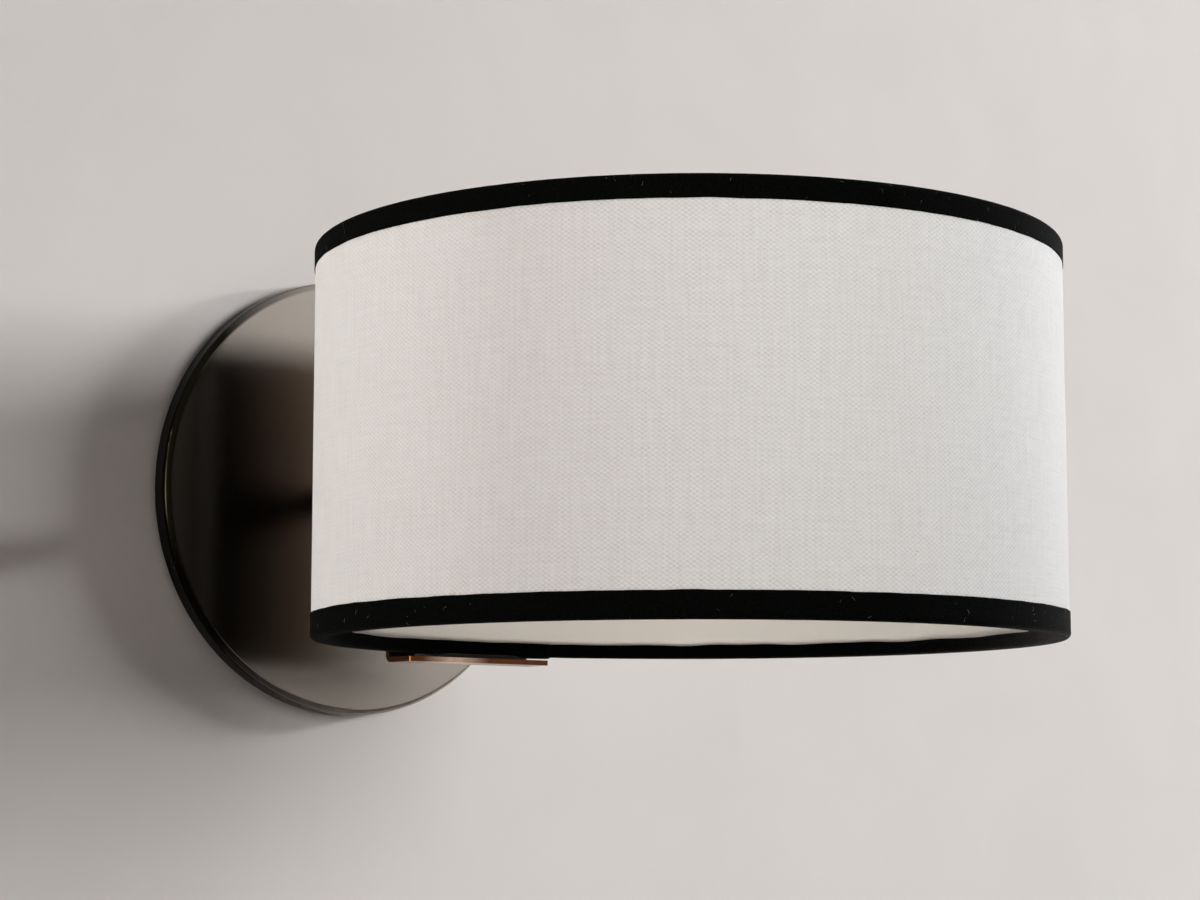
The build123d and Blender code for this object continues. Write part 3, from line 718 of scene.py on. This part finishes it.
def make_copper_bronze():
    """Bronze strip rubbed nearly black on its faces. Its cut edges and the outside of its
    feet are brown copper. A painted highlight brightens the copper near the feet's front ends,
    and a painted reflection pales the faces towards the right."""
    material, tree, shader = start_finish("rubbed_copper_bronze", {"Metallic": 1.0})
    place = put(tree, "ShaderNodeTexCoord").outputs["Object"]
    split = put(tree, "ShaderNodeSeparateXYZ", {0: place})

    wide = put(tree, "ShaderNodeMath", {0: split.outputs["X"]}, operation="ABSOLUTE").outputs[0]
    high = put(tree, "ShaderNodeMath", {0: split.outputs["Z"]}, operation="ABSOLUTE").outputs[0]
    half = BRACKET_WIDTH / 2
    # Bare at the long cut edges, at the feet's front edges and on their outer faces
    edge = 0.0
    for distance, start, full in (
        (wide, half - 0.7, half - 0.1),
        (split.outputs["Y"], 0.8 - PAD_FRONT_OUT, 0.1 - PAD_FRONT_OUT),
        (high, FOOT_FACE - 0.3, FOOT_FACE - 0.1),
    ):
        near = put(tree, "ShaderNodeMapRange", {
            "Value": distance, "From Min": start * 0.001, "From Max": full * 0.001})
        edge = put(tree, "ShaderNodeMath", {0: edge, 1: near.outputs[0]}, operation="MAXIMUM").outputs[0]
    scuff = put(tree, "ShaderNodeTexNoise", {"Vector": place, "Scale": 1000 / 1.5, "Detail": 4.0})
    rubbed = put(
        tree, "ShaderNodeMath", {0: scuff.outputs["Fac"], 1: 0.8, 2: 0.6}, operation="MULTIPLY_ADD")
    bare = put(
        tree, "ShaderNodeMath", {0: edge, 1: rubbed.outputs[0]}, operation="MULTIPLY",
        use_clamp=True).outputs[0]
    # A painted highlight near the feet's front edges, left of their middle
    aside = put(
        tree, "ShaderNodeMath", {0: split.outputs["X"], 1: PAINTED_HIGHLIGHT_MIDDLE * 0.001},
        operation="SUBTRACT")
    aside = put(tree, "ShaderNodeMath", {0: aside.outputs[0]}, operation="ABSOLUTE")
    beside = put(tree, "ShaderNodeMapRange", {
        "Value": aside.outputs[0], "From Min": PAINTED_HIGHLIGHT_REACH[0] * 0.001,
        "From Max": PAINTED_HIGHLIGHT_REACH[1] * 0.001})
    ahead = put(tree, "ShaderNodeMapRange", {
        "Value": split.outputs["Y"], "From Min": -PAD_BACK_OUT * 0.001,
        "From Max": (2 - PAD_FRONT_OUT) * 0.001})
    painted_highlight = put(
        tree, "ShaderNodeMath", {0: beside.outputs[0], 1: ahead.outputs[0]}, operation="MULTIPLY")
    copper = put(
        tree, "ShaderNodeMix", {0: painted_highlight.outputs[0], 6: colour("#744829"), 7: colour("#F6D8C0")},
        data_type="RGBA")
    # The faces are nearly black; they pale towards the right in a painted reflection of the lit wall
    pale = put(tree, "ShaderNodeMapRange", {
        "Value": split.outputs["X"], "From Min": PAINTED_REFLECTION_RIGHT[0] * 0.001,
        "From Max": PAINTED_REFLECTION_RIGHT[1] * 0.001})
    plate = put(
        tree, "ShaderNodeMix", {0: pale.outputs[0], 6: colour("#0F0C0A"), 7: colour("#8A7B6E")},
        data_type="RGBA")
    base = put(
        tree, "ShaderNodeMix", {0: bare, 6: plate.outputs[2], 7: copper.outputs[2]}, data_type="RGBA")
    tree.links.new(base.outputs[2], shader.inputs["Base Color"])
    gloss = put(tree, "ShaderNodeMapRange", {"Value": bare, "To Min": 0.34, "To Max": 0.24})
    tree.links.new(gloss.outputs[0], shader.inputs["Roughness"])
    return material


finishes["pewter"] = make_pewter()
finishes["copper_bronze"] = make_copper_bronze()
linen = make_linen()
tape_cloth = make_tape_cloth()
felt = make_felt()

for piece in (linen_cover, linen_seam):
    wear(piece, linen)
for piece in (top_tape, bottom_tape):
    wear(piece, tape_cloth)
for piece in (top_pad, bottom_pad):
    wear(piece, felt)

slots = {part["node"]: part["material_slot"] for part in frame["record"]["subparts"]}
for name, node in nodes.items():
    if slots[name] in finishes:
        node.material_slots[0].link = "OBJECT"
        node.material_slots[0].material = finishes[slots[name]]


# ---- Small things that repeat, grown by geometry trees ----


def start_tree(name, **kinds):
    """A geometry tree with one named input of each kind given, and its group input node."""
    tree = bpy.data.node_groups.new(name, "GeometryNodeTree")
    tree.interface.new_socket("Geometry", in_out="OUTPUT", socket_type="NodeSocketGeometry")
    for label, kind in kinds.items():
        tree.interface.new_socket(label.replace("_", " "), in_out="INPUT", socket_type="NodeSocket" + kind)
    return tree, put(tree, "NodeGroupInput").outputs


def grow(name, tree, **values):
    """Runs a tree with its inputs set, and keeps the result as a plain mesh at the origin."""
    made = new_mesh(name, [], [])
    grown = made.modifiers.new("grown", "NODES")
    grown.node_group = tree
    for item in tree.interface.items_tree:
        key = item.name.replace(" ", "_")
        if item.in_out == "INPUT" and key in values:
            grown[item.identifier] = values[key]
    return as_plain(made)


def lint_tree():
    """Short curled fibres, lying at random on the outer faces of the tapes."""
    tree, given = start_tree(
        "tape_lint", Top_tape="Object", Bottom_tape="Object", Shade_out="Float", Outer_radius="Float",
        Density="Float", Fibre_radius="Float", Seed="Int", Finish="Material")
    both = put(tree, "GeometryNodeJoinGeometry")
    for tape in ("Top tape", "Bottom tape"):
        info = put(tree, "GeometryNodeObjectInfo", {"Object": given[tape]})
        tree.links.new(info.outputs["Geometry"], both.inputs["Geometry"])
    # Only where the tape is as far from the shade's axis as its outer face
    axis = put(tree, "ShaderNodeCombineXYZ", {"Y": given["Shade out"]})
    place = put(tree, "GeometryNodeInputPosition").outputs[0]
    across = put(tree, "ShaderNodeVectorMath", {0: place, 1: axis.outputs[0]}).outputs[0]
    across = put(tree, "ShaderNodeVectorMath", {0: across, 1: (1, 1, 0)}, operation="MULTIPLY").outputs[0]
    radius = put(tree, "ShaderNodeVectorMath", {0: across}, operation="LENGTH").outputs["Value"]
    outside = put(
        tree, "FunctionNodeCompare", {0: radius, 1: given["Outer radius"]}, data_type="FLOAT",
        operation="GREATER_THAN")
    spots = put(tree, "GeometryNodeDistributePointsOnFaces", {
        "Mesh": both.outputs[0], "Selection": outside.outputs[0], "Density": given["Density"],
        "Seed": given["Seed"]})
    # One fibre, 1 mm long, is laid down at every spot, longer or shorter and turned its own way
    curl = put(tree, "GeometryNodeCurveQuadraticBezier", {
        "Resolution": 5, "Start": (-0.0005, 0, 0), "Middle": (0.0001, 0.0003, 0.0003),
        "End": (0.0005, 0, 0)})
    section = put(tree, "GeometryNodeCurvePrimitiveCircle", {
        "Resolution": 3, "Radius": given["Fibre radius"]})
    fibre = put(tree, "GeometryNodeCurveToMesh", {
        "Curve": curl.outputs[0], "Profile Curve": section.outputs[0], "Fill Caps": True})
    length = put(
        tree, "FunctionNodeRandomValue", {2: 0.3, 3: 1.2, "Seed": given["Seed"]}, data_type="FLOAT")
    laid = put(tree, "GeometryNodeInstanceOnPoints", {
        "Points": spots.outputs["Points"], "Instance": fibre.outputs[0],
        "Rotation": spots.outputs["Rotation"], "Scale": length.outputs[1]})
    turn = put(
        tree, "FunctionNodeRandomValue", {0: (0, 0, 0), 1: (0, 0, 2 * math.pi)},
        data_type="FLOAT_VECTOR")
    turned = put(tree, "GeometryNodeRotateInstances", {
        "Instances": laid.outputs[0], "Rotation": turn.outputs[0]})
    real = put(tree, "GeometryNodeRealizeInstances", {"Geometry": turned.outputs[0]})
    dressed = put(tree, "GeometryNodeSetMaterial", {
        "Geometry": real.outputs[0], "Material": given["Finish"]})
    put(tree, "NodeGroupOutput", {"Geometry": dressed.outputs[0]})
    return tree


def strands_tree():
    """Seven strands for each of the two wires, six of them twisted round a straight one."""
    tree, given = start_tree(
        "bare_wire_ends", Strand_radius="Float", Lay_radius="Float", Reach="Float", Apart="Float",
        Back="Float", Finish="Material")
    section = put(tree, "GeometryNodeCurvePrimitiveCircle", {
        "Resolution": 10, "Radius": given["Strand radius"]})
    lay = put(tree, "GeometryNodeCurveSpiral", {
        "Resolution": 12, "Rotations": 0.12, "Start Radius": given["Lay radius"],
        "End Radius": given["Lay radius"], "Height": given["Reach"]})
    twisted = put(tree, "GeometryNodeCurveToMesh", {
        "Curve": lay.outputs[0], "Profile Curve": section.outputs[0], "Fill Caps": True})
    six = put(tree, "GeometryNodeMeshLine", {"Count": 6, "Offset": (0, 0, 0)})
    number = put(tree, "GeometryNodeInputIndex")
    angle = put(tree, "ShaderNodeMath", {0: number.outputs[0], 1: math.pi / 3}, operation="MULTIPLY")
    turn = put(tree, "ShaderNodeCombineXYZ", {"Z": angle.outputs[0]})
    outer = put(tree, "GeometryNodeInstanceOnPoints", {
        "Points": six.outputs[0], "Instance": twisted.outputs[0], "Rotation": turn.outputs[0]})
    end = put(tree, "ShaderNodeCombineXYZ", {"Z": given["Reach"]})
    core = put(tree, "GeometryNodeCurvePrimitiveLine", {"End": end.outputs[0]})
    straight = put(tree, "GeometryNodeCurveToMesh", {
        "Curve": core.outputs[0], "Profile Curve": section.outputs[0], "Fill Caps": True})
    bundle = put(tree, "GeometryNodeJoinGeometry")
    for strand in (outer, straight):
        tree.links.new(strand.outputs[0], bundle.inputs["Geometry"])
    # Two wires side by side, their ends towards the wall
    half = put(tree, "ShaderNodeMath", {0: given["Apart"], 1: -0.5}, operation="MULTIPLY")
    first = put(tree, "ShaderNodeCombineXYZ", {"X": half.outputs[0], "Y": given["Back"]})
    step = put(tree, "ShaderNodeCombineXYZ", {"X": given["Apart"]})
    pair = put(tree, "GeometryNodeMeshLine", {
        "Count": 2, "Start Location": first.outputs[0], "Offset": step.outputs[0]})
    ends = put(tree, "GeometryNodeInstanceOnPoints", {
        "Points": pair.outputs[0], "Instance": bundle.outputs[0], "Rotation": (-math.pi / 2, 0, 0)})
    real = put(tree, "GeometryNodeRealizeInstances", {"Geometry": ends.outputs[0]})
    dressed = put(tree, "GeometryNodeSetMaterial", {
        "Geometry": real.outputs[0], "Material": given["Finish"]})
    put(tree, "NodeGroupOutput", {"Geometry": dressed.outputs[0]})
    return tree


tape_lint = grow(
    "tape_lint", lint_tree(), Top_tape=top_tape, Bottom_tape=bottom_tape, Shade_out=SHADE_OUT * 0.001,
    Outer_radius=(COVER_RADIUS + TAPE_THICKNESS - LAYER_GAP) * 0.001, Density=LINT_PER_SQUARE_CM * 1e4,
    Fibre_radius=LINT_RADIUS * 0.001, Seed=5,
    # Stray linen fibre, pale against the black cloth
    Finish=simple_finish("linen_lint", "#CFCAC0", "#918C82", 0.3, 0.85))
wire_strands = grow(
    "wire_strands", strands_tree(), Strand_radius=STRAND_RADIUS * 0.001, Lay_radius=STRAND_LAY * 0.001,
    Reach=(STRAND_REACH + STRAND_START) * 0.001, Apart=WIRE_APART * 0.001,
    Back=-(WIRE_END_OUT + STRAND_START) * 0.001,
    # Drawn annealed copper: bright, warm, with faint lines along the draw
    Finish=simple_finish(
        "bare_copper_strand", "#D99A78", "#C4825F", 0.15, 0.3, rough_change=0.06, depth=0.004,
        Metallic=1.0))


# ---- What rides where, and which pieces of the part the cloth pieces replace ----

for piece, node_names, slot in (
    (linen_cover, ["shade_cover"], "linen"),
    (linen_seam, ["cover_seam"], "linen"),
    (top_tape, ["top_trim"], "black_tape"),
    (bottom_tape, ["bottom_trim"], "black_tape"),
    (top_pad, ["bracket_pads"], "black_felt"),
    (bottom_pad, ["bracket_pads"], "black_felt"),
):
    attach(piece, "shade")
    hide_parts(*node_names)

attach(tape_lint, "shade")
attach(wire_strands, "wall_side")


# ---- Wall, floor, light and camera ----


def make_wall():
    """A pale wall with the hole of its electrical box behind the backplate."""
    work = bmesh.new()
    rim = []
    for i in range(96):
        turn = 2 * math.pi * i / 96
        rim.append(work.verts.new(
            mm(BOX_HOLE_RADIUS * math.cos(turn), WALL_BEHIND, BOX_HOLE_RADIUS * math.sin(turn))))
    corners = [work.verts.new((x, WALL_BEHIND * 0.001, z)) for x, z in (
        (-WALL_HALF_WIDTH, FLOOR_HEIGHT), (WALL_HALF_WIDTH, FLOOR_HEIGHT),
        (WALL_HALF_WIDTH, WALL_TOP), (-WALL_HALF_WIDTH, WALL_TOP))]
    edges = []
    for loop in (rim, corners):
        for a, b in zip(loop, loop[1:] + loop[:1]):
            edges.append(work.edges.new((a, b)))
    bmesh.ops.triangle_fill(work, use_beauty=True, edges=edges, normal=(0, -1, 0))
    for face in work.faces:
        if face.normal.y > 0:
            face.normal_flip()
    mesh = bpy.data.meshes.new("wall")
    work.to_mesh(mesh)
    work.free()
    made = bpy.data.objects.new("wall", mesh)
    bpy.context.scene.collection.objects.link(made)
    return made


def make_floor():
    """A pale floor far below the light."""
    back = WALL_BEHIND * 0.001
    points = [(x, y, FLOOR_HEIGHT) for x, y in (
        (-WALL_HALF_WIDTH, back), (WALL_HALF_WIDTH, back),
        (WALL_HALF_WIDTH, FLOOR_FRONT), (-WALL_HALF_WIDTH, FLOOR_FRONT))]
    return new_mesh("floor", points, [(3, 2, 1, 0)])


def make_plaster(name, is_wall):
    """Pale painted plaster. From behind, the wall is clear, so that the back can be looked
    at, and the floor looks pale to the camera however little light reaches it."""
    material, tree, shader = start_finish(name, {"Roughness": 0.9})
    place = put(tree, "ShaderNodeTexCoord").outputs["Object"]
    cloud = put(tree, "ShaderNodeTexNoise", {
        "Vector": place, "Scale": 1000 / 60, "Detail": 6.0, "Distortion": 0.6})
    paint = put(
        tree, "ShaderNodeMix", {0: cloud.outputs["Fac"], 6: colour("#ECE7E4"), 7: colour("#F5F0ED")},
        data_type="RGBA")
    tree.links.new(paint.outputs[2], shader.inputs["Base Color"])
    bump = put(tree, "ShaderNodeBump", {
        "Height": cloud.outputs["Fac"], "Distance": 0.0006, "Strength": 0.4})
    tree.links.new(bump.outputs["Normal"], shader.inputs["Normal"])
    seen = put(tree, "ShaderNodeLightPath").outputs["Is Camera Ray"]
    if is_wall:
        behind = put(tree, "ShaderNodeNewGeometry").outputs["Backfacing"]
        share = put(tree, "ShaderNodeMath", {0: behind, 1: seen}, operation="MULTIPLY").outputs[0]
        other = put(tree, "ShaderNodeBsdfTransparent").outputs[0]
    else:
        share = put(tree, "ShaderNodeMath", {0: seen, 1: 0.8}, operation="MULTIPLY").outputs[0]
        other = put(tree, "ShaderNodeEmission", {"Color": colour("#E4E0DD"), "Strength": 1.0}).outputs[0]
    both = put(tree, "ShaderNodeMixShader", {0: share, 1: shader.outputs[0], 2: other})
    end = next(node for node in tree.nodes if node.type == "OUTPUT_MATERIAL")
    tree.links.new(both.outputs[0], end.inputs["Surface"])
    return material


wall = wear(make_wall(), make_plaster("wall_plaster", True))
floor = wear(make_floor(), make_plaster("floor_plaster", False))

LIGHT_MIDDLE = mm(0, -120, 0)


def add_lamp(name, azimuth, elevation, distance, size, level, tint="#FFFFFF", grid=180.0, above=0.0):
    """A soft lamp aimed at the light. Azimuth is from straight out of the wall towards the
    right, in degrees, and size is its width and height in metres. A white face turned to it
    renders at the given level. A grid, in degrees, narrows its beam, which is aimed above the
    light, by metres, so that the beam's edge leaves the foot of the light a little darker than
    its top."""
    light = bpy.data.lights.new(name, "AREA")
    light.shape = "RECTANGLE"
    light.size, light.size_y = size
    light.energy = level * math.pi ** 2 * distance ** 2
    light.color = colour(tint)[:3]
    if grid < 180:
        half = math.radians(grid / 2)
        light.spread = 2 * half
        light.energy *= (math.tan(half) - half) / (math.tan(half) - above / distance)
    a, e = math.radians(azimuth), math.radians(elevation)
    away = Vector((math.sin(a) * math.cos(e), -math.cos(a) * math.cos(e), math.sin(e)))
    lamp = bpy.data.objects.new(name, light)
    lamp.location = LIGHT_MIDDLE + away * distance
    lamp.rotation_mode = "QUATERNION"
    lamp.rotation_quaternion = (Vector((0, 0, above)) - away * distance).to_track_quat("-Z", "Y")
    lamp.visible_camera = False
    bpy.context.scene.collection.objects.link(lamp)
    return lamp


def light_only(lamp, pieces):
    """Keeps a lamp's light to some pieces, as flags beside it would."""
    lit = bpy.data.collections.new("lit_by_" + lamp.name)
    for made in pieces:
        lit.objects.link(made)
    lamp.light_linking.receiver_collection = lit


# The front and side lamps light the piece and the floor. Two broader ones, further round,
# light the wall, where they lay soft shadows. The left lamp fills the piece alone, the lower
# lamp reaches only what lies inside the shade, and the back lamp is for a look from behind.
front_lamp = add_lamp(
    "front_lamp", 24, 10.5, 3.0, size=(0.36, 0.36), level=0.78, grid=30.0, above=0.15)
front_lamp.visible_glossy = False
side_lamp = add_lamp(
    "side_lamp", 79.3, 17, 5.0, size=(0.4, 0.4), level=0.30, tint="#E9F0FF", grid=18.0, above=0.4)
wall_lamp = add_lamp("wall_lamp", 35, 10.8, 3.0, size=(1.6, 1.1), level=0.61)
wall_rake = add_lamp("wall_rake", 80.8, 11.5, 5.0, size=(0.7, 0.38), level=0.8)
left_lamp = add_lamp(
    "left_lamp", -80, 10, 2.4, size=(0.8, 1.2), level=0.88, tint="#FFF9F5", grid=40.0, above=0.4)
lower_lamp = add_lamp("lower_lamp", -38, -14, 2.4, size=(0.6, 0.6), level=0.6, tint="#FFF6EC")
add_lamp("back_lamp", 205, 20, 2.4, size=(1.2, 1.2), level=0.45)
for lamp in (wall_lamp, wall_rake):
    lamp.visible_glossy = False
    light_only(lamp, [wall])
piece_meshes = [
    made for made in bpy.context.scene.objects if made.type == "MESH" and made not in (wall, floor)]
for lamp in (front_lamp, side_lamp):
    light_only(lamp, piece_meshes + [floor])
light_only(left_lamp, piece_meshes)
light_only(lower_lamp, [nodes[name] for name in INSIDE_SHADE])

world = bpy.data.worlds.new("studio")
bpy.context.scene.world = world
world.use_nodes = True
sky = world.node_tree
sky.nodes.clear()
# The eye, metal and glass see a pale room, and it gives only a little light
ray = put(sky, "ShaderNodeLightPath").outputs
seen = put(sky, "ShaderNodeMath", {0: ray["Is Camera Ray"], 1: ray["Is Glossy Ray"]}, operation="MAXIMUM")
seen = put(
    sky, "ShaderNodeMath", {0: seen.outputs[0], 1: ray["Is Transmission Ray"]}, operation="MAXIMUM")
pale = put(sky, "ShaderNodeBackground", {"Color": colour("#E9E5E2"), "Strength": 1.0})
soft = put(sky, "ShaderNodeBackground", {"Color": colour("#F2EFEC"), "Strength": 0.05})
both = put(sky, "ShaderNodeMixShader", {0: seen.outputs[0], 1: soft.outputs[0], 2: pale.outputs[0]})
put(sky, "ShaderNodeOutputWorld", {"Surface": both.outputs[0]})

# The camera's place and heading follow from the ellipses of the rims and the backplate.
lens = bpy.data.cameras.new("camera")
lens.lens = 81.7
lens.sensor_width = 36.0
lens.clip_start = 0.01
lens.clip_end = 50.0
camera = bpy.data.objects.new("camera", lens)
camera.location = mm(-473.8, -740.0, -92.5)
camera.rotation_euler = (math.radians(90 + 7.06), 0.0, math.radians(-37.97))
bpy.context.scene.collection.objects.link(camera)
bpy.context.scene.camera = camera
bpy.context.scene.view_settings.view_transform = "Standard"
